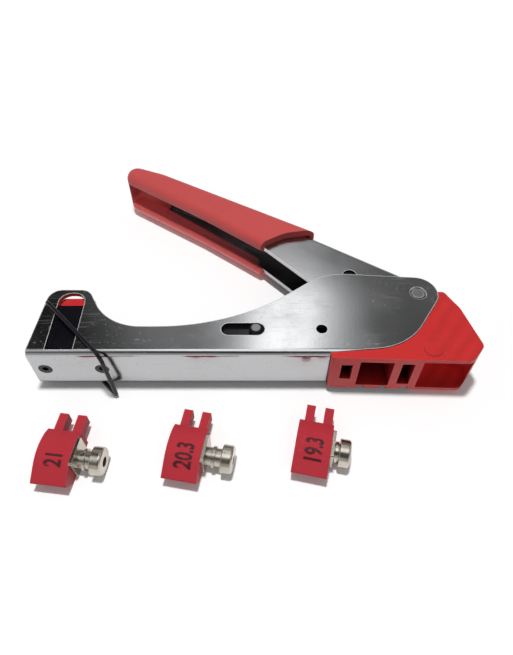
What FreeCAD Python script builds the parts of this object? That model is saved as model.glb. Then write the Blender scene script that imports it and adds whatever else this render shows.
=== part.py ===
import FreeCAD, Part
import Sketcher
import math
import os
import re

# Coax connector compression tool, lying on its side.
# Origin: main pivot axis on the plane that the tool lies on. +X runs along the body to the nose,
# +Y is the side that the handle opens to, +Z is up through the side plates. Millimetres.

DOC = FreeCAD.newDocument("CompressionTool")
V = FreeCAD.Vector

# Driving sizes: alias, value, what it is
SIZES = [
    ("rivet_head", 2.4, "height of the pivot's lower head, which the tool lies on"),
    ("body_width", 18.2, "outside width of the body channel"),
    ("sheet", 1.6, "thickness of the body channel's sheet"),
    ("bend", 2.2, "outside radius of the channel's bends"),
    ("tail_x", 133.2, "pivot to the tail end of the channel"),
    ("tail_lean", 2.2, "how far the tail edge leans in at the tab's top"),
    ("web_y", 26.4, "pivot to the outside of the channel's web"),
    ("web_end", 33.3, "pivot to where the web stops at the nose"),
    ("tab_top", 1.5, "height of the cable tab above the pivot's axis"),
    ("tab_width", 13.8, "width of the cable tab"),
    ("tab_round", 4.8, "corner radius of the cable tab"),
    ("waist_in", 25.1, "tail to where the tab's flank meets the waist"),
    ("waist_y", 15.1, "the waist's edge below the pivot"),
    ("waist_round", 19.0, "radius from tab to waist"),
    ("sweep_x", 65.5, "where the waist meets the shoulder's ramp"),
    ("sweep_round", 76.0, "radius of the long sweep"),
    ("shoulder_x", 32.7, "shoulder corner"),
    ("shoulder_y", 9.9, "shoulder corner"),
    ("shoulder_round", 22.0, "radius of the shoulder"),
    ("head_x", 13.0, "corner that is rounded about the pivot"),
    ("head_y", 6.8, "corner that is rounded about the pivot"),
    ("head_round", 7.5, "radius of the cheeks about the pivot"),
    ("chin_x", 7.3, "corner of the cheeks in the nose"),
    ("chin_y", 23.5, "corner of the cheeks in the nose"),
    ("chin_round", 22.0, "radius of that corner"),
    ("seam_y", 25.6, "cheek's edge where the nose's seam starts"),
    ("plain_hole_x", 35.5, "plain hole through both cheeks"),
    ("plain_hole_r", 1.9, "radius of the plain hole"),
    ("arch_in", 10.8, "tail to the middle of the arch window"),
    ("arch_width", 9.2, "width of the arch window"),
    ("arch_foot", 1.6, "foot of the arch window above the web's outside"),
    ("arch_round", 4.2, "corner radius of the arch window's top"),
    ("slider_x", 57.5, "slider pin at rest"),
    ("slider_y", 16.3, "slider pin and slot below the pivot"),
    ("slider_back", 84.0, "tail end of the slider at rest"),
    ("slider_step", 69.8, "the slider's step, where the adapters sit"),
    ("slider_front", 52.6, "nose end of the slider at rest"),
    ("slider_low", 18.0, "slider's low deck below the pivot"),
    ("slider_high", 11.8, "slider's high deck below the pivot"),
    ("slider_round", 0.8, "corner radius of the slider"),
    ("slider_nose", 4.0, "corner radius at the top of the slider's nose end"),
    ("link_room", 7.0, "room for the links' eyes behind the slider pin"),
    ("stroke", 9.2, "travel of the slider"),
    ("slot_spare", 0.15, "slot left at each end of the travel"),
    ("pin_r", 2.0, "radius of the slider pin"),
    ("pin_rim", 0.45, "how far the slider pin's ends stand out round it"),
    ("pin_end", 0.6, "height of the slider pin's ends past the cheeks"),
    ("pin_edge", 0.3, "chamfer of the slider pin's ends"),
    ("bush_r", 2.55, "radius of the slider bushes"),
    ("run", 0.05, "radial running clearance of pins and bushes"),
    ("seat", 0.1, "clearance between pieces that sit together"),
    ("side_run", 0.2, "side clearance between moving pieces"),
    ("pivot_r", 2.5, "radius of the main pivot"),
    ("pivot_head_r", 5.2, "radius of the pivot's lower head"),
    ("pivot_edge", 1.4, "how far the lower head's edge is rounded in"),
    ("pivot_rim", 0.8, "height of the lower head's straight rim"),
    ("pivot_sink", 0.45, "depth of the countersink round the pivot's upper end"),
    ("sleeve_r", 3.7, "outside radius of the pivot sleeve"),
    ("washer_r", 5.6, "outside radius of the pivot washers"),
    ("spring_wire", 0.6, "radius of the return spring's wire"),
    ("spring_mean", 4.9, "radius of the return spring's coil, to the middle of its wire"),
    ("spring_pitch", 1.45, "pitch of the return spring's coil"),
    ("spring_leg", 13.0, "length of the return spring's straight leg"),
    ("lever_gap", 0.7, "handle channel to the body channel's inside, each side"),
    ("lever_sheet", 1.5, "thickness of the handle channel's sheet"),
    ("lever_bend", 2.2, "outside radius of the handle channel's bends"),
    ("link_pin_x", 22.8, "link pin in the handle, at rest"),
    ("link_pin_y", 11.2, "link pin in the handle, at rest"),
    ("link_pin_r", 2.5, "radius of the link pin"),
    ("link_pin_sink", 0.9, "how deep the link pin's ends lie in their holes"),
    ("link_thick", 2.0, "thickness of a link plate"),
    ("link_side", 1.3, "space for a washer outside each link plate"),
    ("link_eye", 4.7, "radius of the link plates about their holes"),
    ("eye_slack", 1.15, "length of the slot in the links at the slider pin"),
    ("eye_play", 0.45, "play of the slider pin across that slot"),
    ("grip_wall", 2.9, "grip's wall outside the handle channel"),
    ("grip_round", 2.8, "radius of the grip's outer edges"),
    ("grip_lip", 1.2, "radius of the lips' inner edges"),
    ("lip_width", 4.7, "how far each of the grip's lips wraps round the open side"),
    ("wire_r", 0.7, "radius of the bail's wire"),
    ("bail_in", 2.7, "tail to the bail's pivot"),
    ("bail_y", 5.2, "bail's pivot below the main pivot"),
    ("bail_turn", 46.0, "angle of the bail below the body's length, at rest"),
    ("bail_past", 5.5, "how far the bail's loop reaches past the web"),
    ("bail_knee", 3.2, "straight stretch of the upper leg past the web"),
    ("bail_gap", 1.65, "legs of the bail from the cheeks, to the middle of the wire"),
    ("bail_foot", 0.8, "how far the bail's feet reach in past the cheeks"),
    ("foot_round", 1.6, "radius of the bend at the bail's feet"),
    ("knee_round", 4.0, "radius of the bend of the upper leg"),
    ("loop_round", 1.3, "radius of the bend at the loop's tip"),
    ("cable_slot", 7.4, "width of the cable slot"),
    ("axis_y", 10.0, "compression axis below the pivot"),
    ("cradle_in", 2.2, "tail to the tail end of the cradle"),
    ("cradle_top", 0.4, "top of the cradle below the pivot"),
    ("cradle_lean", 3.0, "how far the cradle's top lies in from its end"),
    ("cradle_low", 19.0, "cradle's low deck below the pivot"),
    ("cradle_neck", 14.0, "where the cradle's back flares out below the pivot"),
    ("saddle_sheet", 1.0, "thickness of the saddle's sheet"),
    ("saddle_top", 4.6, "top of the saddle below the pivot"),
    ("saddle_side", 2.7, "saddle's sides inside the cradle's faces"),
    ("saddle_low", 21.0, "saddle's low edge below the pivot"),
    ("screw_r", 1.5, "radius of the cradle screws' shank"),
    ("screw_head_r", 2.35, "radius of the cradle screws' head"),
    ("screw_length", 6.0, "length of the cradle screws under the web's face"),
    ("screw_key", 1.15, "radius over the corners of the screws' hexagon sockets"),
    ("screw_key_depth", 1.4, "depth of those sockets"),
    ("screw_tail", 2.1, "first cradle screw from the cradle's tail end"),
    ("screw_foot", 3.3, "second cradle screw from the cradle's other end"),
    ("nose_wall", 1.8, "side wall of the moulded nose"),
    ("nose_inset", 0.3, "how far the nose's sides lie inside the cheeks' faces"),
    ("seam_gap", 0.15, "seam between the cheeks' edge and the nose"),
    ("swing_gap", 0.6, "room round the handle's end in the nose"),
    ("window_plane", 30.0, "where the nose's windows are cut from, below the pivot"),
    ("small_window_back", -29.4, "tail side of the nose's small window"),
    ("small_window_fore", -25.7, "nose side of the nose's small window"),
    ("large_window_back", -23.4, "tail side of the nose's large window"),
    ("large_window_fore", -12.3, "nose side of the nose's large window"),
    ("tall_window_back", -9.6, "tail side of the nose's tall window"),
    ("tall_window_fore", -5.5, "nose side of the nose's tall window"),
    ("window_deep", 20.0, "depth of the nose's large window"),
    ("window_shallow", 8.0, "depth of the nose's small windows"),
    ("boss_x", 0.4, "moulded boss on the nose"),
    ("boss_y", 24.4, "moulded boss on the nose, below the pivot"),
    ("boss_r", 3.2, "radius of the boss"),
    ("boss_rise", 0.7, "height of the boss"),
    ("tail_notch", -22.6, "notch in the nose's lower edge nearest the tail"),
    ("middle_notch", -15.2, "middle notch in the nose's lower edge"),
    ("nose_notch", -7.6, "notch in the nose's lower edge nearest the nose"),
    ("notch_width", 2.4, "width of the notches in the nose's lower edge"),
    ("nose_deck", 17.5, "where the nose's end under the web stops below the pivot"),
    ("nose_lip", 28.0, "nose's lower edge at the web's end"),
    ("nose_corner", 1.0, "radius of that corner"),
    ("notch_y", 27.6, "what the notches reach up to below the pivot"),
    ("tongue_top", 18.6, "top of the nose's tongue at the web's end"),
    ("adapter_width", 11.2, "width of an adapter"),
    ("adapter_length", 17.8, "length of an adapter without its prongs"),
    ("adapter_shoulder", 7.4, "thickness of an adapter at its prongs"),
    ("adapter_crown", 11.4, "height of the corner that the numbered face is rounded under"),
    ("adapter_toe", 5.2, "height of the numbered face's far edge"),
    ("adapter_tuck", 3.4, "how far the far end leans in to the table"),
    ("adapter_curve", 12.0, "radius of the numbered face"),
    ("adapter_round", 0.6, "radius of the adapter's edges"),
    ("prong_width", 2.9, "width of a prong"),
    ("prong_length", 6.0, "length of a prong"),
    ("prong_root", 1.0, "how far a prong runs into its block"),
    ("prong_thick", 4.4, "thickness of a prong"),
    ("prong_first", 1.6, "adapter's side to its first prong"),
    ("prong_gap", 3.2, "gap between the prongs"),
    ("prong_level", 2.6, "height of a prong above the table"),
    ("mandrel_drop", 8.0, "prong base to the mandrel's axis"),
    ("mandrel_z", 5.0, "height of the mandrel's axis"),
    ("mandrel_r", 4.5, "radius of the mandrel's head"),
    ("mandrel_head", 3.6, "length of the mandrel's head"),
    ("mandrel_neck_r", 2.9, "radius of the mandrel's neck"),
    ("mandrel_rib", 0.5, "height and half width of the rib round the neck"),
    ("mandrel_bore_r", 1.6, "radius of the mandrel's centre hole"),
    ("mandrel_root", 4.0, "how far the mandrel's stem runs into its block"),
    ("mandrel_edge", 0.9, "rounding of the mandrel's front edge"),
    ("plate_thick", 1.0, "thickness of the mandrel's lock plate"),
    ("plate_low", 0.6, "lower edge of the lock plate above the table"),
    ("plate_rise", 4.6, "lock plate above the mandrel's axis"),
    ("plate_fore", 5.2, "lock plate from the mandrel's axis towards the prongs"),
    ("plate_aft", 4.2, "lock plate from the mandrel's axis towards the toe"),
    ("spare", 5.0, "how far a cut runs past the piece"),
]

# Corners of the outlines that are drawn by eye: name, x, y, radius. Radius 0 is a sharp corner.
CORNERS = {
    "nose": [
        ("toe", 12.5, -29.4, 3.0),
        ("tip", 17.6, -23.3, 2.5),
        ("brow", 13.4, -6.8, 6.0),
        ("crown", 9.3, 0.8, 1.2),
        ("head", 2.0, 0.8, 0),
        ("neck", -10.0, -12.0, 0),
    ],
    "well": [
        ("mouth", 12.9, -34.0, 0),
        ("wide", 15.2, -22.8, 0),
        ("back", 11.6, -12.5, 2.0),
        ("heel", 0.8, -12.5, 2.0),
        ("side", -2.9, -16.0, 1.0),
    ],
    "tongue": [
        ("low", -6.0, -12.4, 0),
        ("high", 2.0, -7.0, 0),
    ],
    "lever": [
        ("neck", 1.0, 8.48, 0),
        ("bend", -38.0, 34.0, 0),
        ("tail", -95.4, 66.3, 0),
        ("heel", -98.4, 61.2, 2.0),
        ("arm", -57.0, 28.4, 8.0),
        ("belly", -32.2, 2.2, 5.0),
        ("foot", 6.9, -8.0, 6.5),
        ("crest", 6.9, 3.7, 4.5),
    ],
    "grip": [
        ("heel", -34.6, 33.2, 0),
        ("back", -98.0, 70.9, 25.0),
        ("top", -114.4, 77.8, 4.4),
        ("end", -114.4, 68.0, 4.2),
        ("front", -80.0, 44.0, 90.0),
        ("lip", -56.0, 25.4, 0),
        ("scoop", -46.4, 31.2, 12.0),
    ],
    "mouth": [
        ("low", -36.0, 20.0, 0),
        ("high", -36.0, 31.0, 0),
        ("knee", -57.0, 33.0, 0),
        ("arm", -97.0, 65.4, 0),
        ("end", -110.4, 73.2, 2.0),
        ("tip", -118.0, 60.0, 0),
        ("front", -60.0, 10.0, 0),
    ],
}
ADAPTERS = {
    "21": (4.6, -124.2, -46.4, -7.0),
    "203": (5.0, -83.8, -44.8, -10.0),
    "193": (1.6, -43.4, -43.0, -12.0),
}
for outline_name, rows in CORNERS.items():
    for word, *values in rows:
        for letter, value in zip("xyr", values):
            SIZES.append((f"{outline_name}_{word}_{letter}", value, f"{outline_name} outline, {word} corner"))
for number, (neck, x, y, _) in ADAPTERS.items():
    SIZES.append((f"neck_{number}", neck, "length of the mandrel's neck"))
    SIZES.append((f"adapter_{number}_x", x, "adapter's place on the table"))
    SIZES.append((f"adapter_{number}_y", y, "adapter's place on the table"))

SHEET = DOC.addObject("Spreadsheet::Sheet", "Sizes")
for row, (alias, value, meaning) in enumerate(SIZES, start=1):
    SHEET.set(f"A{row}", meaning)
    SHEET.set(f"B{row}", str(value))
    SHEET.setAlias(f"B{row}", alias)
DOC.recompute()
NAMES = {alias for alias, value, meaning in SIZES}

# Levels that several pieces share
LOW = "rivet_head"
HIGH = "(rivet_head + body_width)"
MID = "(rivet_head + body_width/2)"
INNER = "(body_width - 2*sheet)"
LEVER_WIDTH = "(body_width - 2*sheet - 2*lever_gap)"
LEVER_LOW = "(rivet_head + sheet + lever_gap)"
LINK_GAP = "(body_width - 2*sheet - 2*lever_gap - 2*lever_sheet - 2*link_side - 2*link_thick)"
CRADLE_WIDTH = "(body_width - 2*sheet - 2*saddle_sheet)"
CRADLE_BACK = "(cradle_in - tail_x)"
CRADLE_FRONT = "(cradle_in - tail_x + (tail_x - slider_back)/2)"
CRADLE_FACE = "(cradle_in - tail_x + (tail_x - slider_back)/3)"
SCREW_TAIL = "(cradle_in - tail_x + screw_tail)"
SCREW_FOOT = "(cradle_in - tail_x + (tail_x - slider_back)/2 - screw_foot)"
BAIL_X = "(bail_in - tail_x)"

SPRING_TURNS = 4
TOUCHING = 0.01  # millimetres within which an edge counts as lying on a line
NODES = []


def corners(outline_name, *words):
    """Corners of an outline as formulas, all of them or those that are named."""
    rows = CORNERS[outline_name]
    return [tuple(f"{outline_name}_{word}_{letter}" for letter in ("xyr" if radius else "xy"))
            for word, _, _, radius in rows if not words or word in words]


def full(text):
    """A formula in the sheet's own words, as FreeCAD reads it."""
    def word(match):
        return "Sizes." + match[0] if match[0] in NAMES else match[0]
    return re.sub(r"[a-z]\w*", word, str(text))


def size(text):
    """The number that a formula of the sheet's sizes gives."""
    return float(SHEET.evalExpression(full(text).replace("Sizes.", "")))


def bind(thing, prop, text):
    thing.setExpression(prop, full(text))


def place(thing, x="0", y="0", z="0"):
    for letter, text in zip("xyz", (x, y, z)):
        bind(thing, "Placement.Base." + letter, text)


def node(thing, label):
    """Keep a finished piece under its own name."""
    thing.Label = label
    NODES.append(thing)
    return thing


def new_body(label):
    return node(DOC.addObject("PartDesign::Body", "Body_" + label), label)


def origin_part(body, role):
    return next(part for part in body.Origin.OriginFeatures if part.Role == role)


def new_sketch(body, name, plane="XY_Plane", level="0"):
    sketch = body.newObject("Sketcher::SketchObject", name)
    sketch.AttachmentSupport = [(origin_part(body, plane), "")]
    sketch.MapMode = "FlatFace"
    bind(sketch, "AttachmentOffset.Base.z", level)
    return sketch


def hold(sketch, kind, *where, value):
    """Add a dimension and bind it to its formula where it has one."""
    number = value if isinstance(value, float) else size(value)
    index = sketch.addConstraint(Sketcher.Constraint(kind, *where, number))
    if not isinstance(value, float):
        bind(sketch, f"Constraints[{index}]", value)


def numbers(corners):
    """Corners as numbers: x, y and the corner's radius."""
    rows = []
    for corner in corners:
        x, y, radius = (tuple(corner) + ("0",))[:3]
        rows.append(tuple(v if isinstance(v, float) else size(v) for v in (x, y, radius)))
    return rows


def grown(corners, by):
    """The outline moved outwards by a distance, radii with it. Corners run anticlockwise."""
    rows = numbers(corners)
    moved = []
    for i, (x, y, radius) in enumerate(rows):
        before = V(x - rows[i - 1][0], y - rows[i - 1][1], 0).normalize()
        after_x, after_y, _ = rows[(i + 1) % len(rows)]
        after = V(after_x - x, after_y - y, 0).normalize()
        turn = before.x * after.y - before.y * after.x
        shift = (V(before.y, -before.x, 0) + V(after.y, -after.x, 0)) * (by / (1 + before.dot(after)))
        rounded = radius + math.copysign(by, turn) if radius > 0 else 0.0
        moved.append((x + shift.x, y + shift.y, max(rounded, 0.0)))
    return moved


def outline(sketch, corners):
    """Closed outline of straight edges, each corner rounded by its own radius if it has one."""
    rows = numbers(corners)
    given = [(tuple(corner) + ("0",))[:3] for corner in corners]
    count = len(rows)
    ways = []
    for i, (x, y, _) in enumerate(rows):
        next_x, next_y, _ = rows[(i + 1) % count]
        ways.append(V(next_x - x, next_y - y, 0).normalize())
    entries, exits, arcs = [], [], {}
    for i, (x, y, radius) in enumerate(rows):
        before, after = ways[i - 1], ways[i]
        turn = math.atan2(before.x * after.y - before.y * after.x, before.dot(after))
        reach = radius * math.tan(abs(turn) / 2)
        corner = V(x, y, 0)
        entries.append(corner - before * reach)
        exits.append(corner + after * reach)
        if radius > 0:
            side = math.copysign(1, turn)
            centre = entries[i] + V(-before.y, before.x, 0) * (radius * side)
            first, last = (entries[i], exits[i]) if side > 0 else (exits[i], entries[i])
            start = math.atan2(first.y - centre.y, first.x - centre.x)
            end = math.atan2(last.y - centre.y, last.x - centre.x)
            circle = Part.Circle(centre, V(0, 0, 1), radius)
            arcs[i] = (Part.ArcOfCircle(circle, start, end), side)
    lines = [sketch.addGeometry(Part.LineSegment(exits[i], entries[(i + 1) % count]), False)
             for i in range(count)]
    for i in range(count):
        incoming, outgoing = lines[i - 1], lines[i]
        if i not in arcs:
            sketch.addConstraint(Sketcher.Constraint("Coincident", incoming, 2, outgoing, 1))
            hold(sketch, "DistanceX", -1, 1, outgoing, 1, value=given[i][0])
            hold(sketch, "DistanceY", -1, 1, outgoing, 1, value=given[i][1])
            continue
        shape, side = arcs[i]
        arc = sketch.addGeometry(shape, False)
        first, last = (1, 2) if side > 0 else (2, 1)
        point = sketch.addGeometry(Part.Point(V(rows[i][0], rows[i][1], 0)), True)
        sketch.addConstraint([
            Sketcher.Constraint("Tangent", incoming, 2, arc, first),
            Sketcher.Constraint("Tangent", outgoing, 1, arc, last),
            Sketcher.Constraint("PointOnObject", point, 1, incoming),
            Sketcher.Constraint("PointOnObject", point, 1, outgoing),
        ])
        hold(sketch, "DistanceX", -1, 1, point, 1, value=given[i][0])
        hold(sketch, "DistanceY", -1, 1, point, 1, value=given[i][1])
        hold(sketch, "Radius", arc, value=given[i][2])
    return sketch


def box_corners(x0, y0, x1, y1, radius="0"):
    return [(x0, y0, radius), (x1, y0, radius), (x1, y1, radius), (x0, y1, radius)]


def ring(sketch, x, y, radius):
    circle = sketch.addGeometry(Part.Circle(V(size(x), size(y), 0), V(0, 0, 1), size(radius)), False)
    hold(sketch, "DistanceX", -1, 1, circle, 3, value=x)
    hold(sketch, "DistanceY", -1, 1, circle, 3, value=y)
    hold(sketch, "Radius", circle, value=radius)
    return sketch


def capsule(sketch, x0, y0, x1, y1, radius):
    """Two round ends joined by tangent edges, as in a slot or a link plate."""
    a, b, r = V(size(x0), size(y0), 0), V(size(x1), size(y1), 0), size(radius)
    along = (b - a).normalize()
    side = V(-along.y, along.x, 0) * r
    angle = math.atan2(side.y, side.x)
    head = Part.ArcOfCircle(Part.Circle(b, V(0, 0, 1), r), angle - math.pi, angle)
    tail = Part.ArcOfCircle(Part.Circle(a, V(0, 0, 1), r), angle, angle + math.pi)
    arc_b = sketch.addGeometry(head, False)
    arc_a = sketch.addGeometry(tail, False)
    upper = sketch.addGeometry(Part.LineSegment(b + side, a + side), False)
    lower = sketch.addGeometry(Part.LineSegment(a - side, b - side), False)
    sketch.addConstraint([
        Sketcher.Constraint("Tangent", arc_b, 2, upper, 1),
        Sketcher.Constraint("Tangent", upper, 2, arc_a, 1),
        Sketcher.Constraint("Tangent", arc_a, 2, lower, 1),
        Sketcher.Constraint("Tangent", lower, 2, arc_b, 1),
    ])
    hold(sketch, "DistanceX", -1, 1, arc_a, 3, value=x0)
    hold(sketch, "DistanceY", -1, 1, arc_a, 3, value=y0)
    hold(sketch, "DistanceX", -1, 1, arc_b, 3, value=x1)
    hold(sketch, "DistanceY", -1, 1, arc_b, 3, value=y1)
    hold(sketch, "Radius", arc_b, value=radius)
    return sketch


def pad(body, sketch, length, back=False):
    feature = body.newObject("PartDesign::Pad", sketch.Name + "_pad")
    feature.Profile = sketch
    bind(feature, "Length", length)
    feature.Reversed = back
    return feature


def pocket(body, sketch, depth=None, back=True):
    """Cut a sketch away: along its normal (back), against it, or right through both ways."""
    feature = body.newObject("PartDesign::Pocket", sketch.Name + "_cut")
    feature.Profile = sketch
    if depth is None:
        feature.Type = "ThroughAll"
        feature.Midplane = True
    else:
        bind(feature, "Length", depth)
        feature.Reversed = back
    return feature


def turned(body, sketch, cut=False):
    kind = "PartDesign::Groove" if cut else "PartDesign::Revolution"
    feature = body.newObject(kind, sketch.Name + "_turned")
    feature.Profile = sketch
    feature.ReferenceAxis = (origin_part(body, "Z_Axis"), [""])
    feature.Angle = 360.0
    return feature


def edges_where(shape, test):
    return [f"Edge{i + 1}" for i, edge in enumerate(shape.Edges) if test(edge)]


def soften(body, radius, test, name):
    """Round the edges of the body so far that pass a test."""
    DOC.recompute()
    base = body.Tip
    feature = body.newObject("PartDesign::Fillet", name)
    feature.Base = (base, edges_where(base.Shape, test))
    bind(feature, "Radius", radius)
    return feature


def runs_along_x(edge, y, z):
    """True for a straight edge along X at the given place."""
    ends = [vertex.Point for vertex in edge.Vertexes]
    return len(ends) == 2 and all(
        abs(end.y - size(y)) < TOUCHING and abs(end.z - size(z)) < TOUCHING for end in ends)


CHEEK = [
    ("-tail_x", "-web_y"),
    ("-web_end", "-web_y"),
    ("-web_end", "-seam_y"),
    ("-chin_x", "-chin_y", "chin_round"),
    ("head_x", "head_y", "head_round"),
    ("-shoulder_x", "shoulder_y", "shoulder_round"),
    ("-sweep_x", "-waist_y", "sweep_round"),
    ("waist_in - tail_x", "-waist_y", "waist_round"),
    ("tail_lean + tab_width - tail_x", "tab_top", "tab_round"),
    ("tail_lean - tail_x", "tab_top", "tab_round"),
]


def body_channel():
    """Stamped channel: two swept cheeks and the web that joins them."""
    body = new_body("body_channel")
    pad(body, outline(new_sketch(body, "cheeks", level=LOW), CHEEK), "body_width")
    inside = [
        ("-tail_x - spare", "sheet - web_y"),
        ("-web_end", "sheet - web_y"),
        ("-web_end", "-web_y - spare"),
        ("head_x + spare", "-web_y - spare"),
        ("head_x + spare", "shoulder_y + spare"),
        ("-tail_x - spare", "shoulder_y + spare"),
    ]
    pocket(body, outline(new_sketch(body, "channel", level=LOW + " + sheet"), inside), INNER)
    soften(body, "bend", lambda edge: any(
        runs_along_x(edge, "-web_y", level) for level in (LOW, HIGH)), "outer_bends")
    soften(body, "bend - sheet", lambda edge: any(
        runs_along_x(edge, "sheet - web_y", level) for level in (LOW + " + sheet", HIGH + " - sheet")),
        "inner_bends")
    windows = new_sketch(body, "arches", level=MID)
    outline(windows, [
        ("arch_in - tail_x - arch_width/2", "arch_foot - web_y"),
        ("arch_in - tail_x + arch_width/2", "arch_foot - web_y"),
        ("arch_in - tail_x + arch_width/2", "tab_top - sheet", "arch_round"),
        ("arch_in - tail_x - arch_width/2", "tab_top - sheet", "arch_round"),
    ])
    pocket(body, windows)
    slot = new_sketch(body, "slots", level=MID)
    capsule(slot, "-slider_x - stroke - slot_spare", "-slider_y", "-slider_x + slot_spare", "-slider_y",
            "bush_r + run")
    pocket(body, slot)
    holes = new_sketch(body, "holes", level=MID)
    ring(holes, "0", "0", "pivot_r")
    ring(holes, "-plain_hole_x", "-slider_y", "plain_hole_r")
    ring(holes, BAIL_X, "-bail_y", "wire_r + run")
    pocket(body, holes)
    sink = new_sketch(body, "sink", "XZ_Plane")
    outline(sink, [
        ("0", HIGH + " - pivot_sink"),
        ("pivot_r", HIGH + " - pivot_sink"),
        ("pivot_r + pivot_sink", HIGH),
        ("0", HIGH),
    ])
    turned(body, sink, cut=True)
    screws = new_sketch(body, "screw_holes", "XZ_Plane", "web_y")
    ring(screws, SCREW_TAIL, MID, "screw_r + run")
    ring(screws, SCREW_FOOT, MID, "screw_r + run")
    pocket(body, screws, "sheet + run", back=False)
    heads = new_sketch(body, "screw_sinks", "XZ_Plane", "web_y")
    ring(heads, SCREW_TAIL, MID, "screw_head_r + run")
    ring(heads, SCREW_FOOT, MID, "screw_head_r + run")
    pocket(body, heads, "sheet/2", back=False)
    return body


def nose_housing():
    """Moulded nose: flanks outside the cheeks, a tongue between them, ribs and a storage well."""
    body = new_body("nose_housing")
    shape = [("seam_gap - web_end", "-nose_lip", "nose_corner"), *corners("nose"),
             ("seam_gap - web_end", "-nose_deck")]
    pad(body, outline(new_sketch(body, "nose_side", level=LOW + " + nose_inset"), shape),
        "body_width - 2*nose_inset")
    boss = new_sketch(body, "boss", level=HIGH + " - nose_wall")
    pad(body, ring(boss, "boss_x", "-boss_y", "boss_r"), "nose_wall - nose_inset + boss_rise")
    top = size(HIGH + " - nose_inset + boss_rise")
    soften(body, "boss_rise - run", lambda edge: len(edge.Vertexes) == 1 and
           abs(edge.Vertexes[0].Z - top) < TOUCHING, "boss_round")
    cheek = grown(CHEEK, size("seam_gap"))
    pocket(body, outline(new_sketch(body, "under_upper_cheek", level=HIGH + " - sheet"), cheek),
           "sheet + spare", back=True)
    pocket(body, outline(new_sketch(body, "under_lower_cheek", level=LOW + " + sheet"), cheek),
           "sheet", back=False)
    band = new_sketch(body, "tongue_top", level=LOW + " + sheet")
    outline(band, [
        ("-web_end - spare", "-tongue_top"),
        *corners("tongue"),
        ("tongue_high_x", "spare"),
        ("-web_end - spare", "spare"),
    ])
    pocket(body, band, INNER)
    swing = new_sketch(body, "handle_swing", level=LOW + " + sheet")
    pocket(body, ring(swing, "0", "0", "head_round + swing_gap"), INNER)
    front = new_sketch(body, "windows", "XZ_Plane", "window_plane")
    half = "body_width/2"
    outline(front, box_corners("small_window_back", f"{MID} - {half} + 3*nose_wall + 2*nose_inset",
                               "small_window_fore", f"{MID} + {half} - 2*nose_wall - 2*nose_inset"))
    outline(front, box_corners("tall_window_back", f"{MID} - {half} + 2*nose_wall",
                               "tall_window_fore", f"{MID} + {half} - nose_wall - 4*nose_inset"))
    pocket(body, front, "window_shallow", back=False)
    deep = new_sketch(body, "window", "XZ_Plane", "window_plane")
    outline(deep, box_corners("large_window_back", f"{MID} - {half} + nose_wall + 2*nose_inset",
                              "large_window_fore", f"{MID} + {half} - nose_wall - 2*nose_inset"))
    pocket(body, deep, "window_deep", back=False)
    well = new_sketch(body, "well", level=LOW + " + nose_wall")
    outline(well, [("well_side_x", "well_mouth_y"), *corners("well")])
    pocket(body, well, "body_width - 2*nose_wall")
    notches = new_sketch(body, "notches", level=LOW)
    for start in ("tail_notch", "middle_notch", "nose_notch"):
        outline(notches, box_corners(start, "-notch_y - spare", start + " + notch_width", "-notch_y"))
    pocket(body, notches, "nose_wall")
    return body


def cable_cradle():
    """Red cradle in the tab: a fork that the cable lies in and the connector bears on."""
    body = new_body("cable_cradle")
    floor = "sheet + saddle_sheet - web_y"
    side = [
        (CRADLE_BACK, floor),
        (CRADLE_FRONT, floor),
        (CRADLE_FRONT, "-cradle_low", "saddle_sheet"),
        (CRADLE_FACE, "-cradle_low", "saddle_sheet"),
        (CRADLE_FACE, "-cradle_top", "cradle_lean - run"),
        (CRADLE_BACK + " + cradle_lean", "-cradle_top", "cradle_lean - run"),
        (CRADLE_BACK + " + cradle_lean", "-cradle_neck", "cradle_lean"),
        (CRADLE_BACK, "-cradle_low", "saddle_sheet"),
    ]
    pad(body, outline(new_sketch(body, "cradle_side", level=LOW + " + sheet + saddle_sheet"), side),
        CRADLE_WIDTH)
    fork = new_sketch(body, "cable_way", "YZ_Plane", CRADLE_BACK + " - spare")
    capsule(fork, "-axis_y", MID, "spare + tab_top", MID, "cable_slot/2")
    pocket(body, fork, "(tail_x - slider_back)/2 + 2*spare")
    holes = new_sketch(body, "screw_seats", "XZ_Plane", "web_y")
    ring(holes, SCREW_TAIL, MID, "screw_r")
    ring(holes, SCREW_FOOT, MID, "screw_r")
    pocket(body, holes, "screw_length", back=False)
    return body


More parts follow.
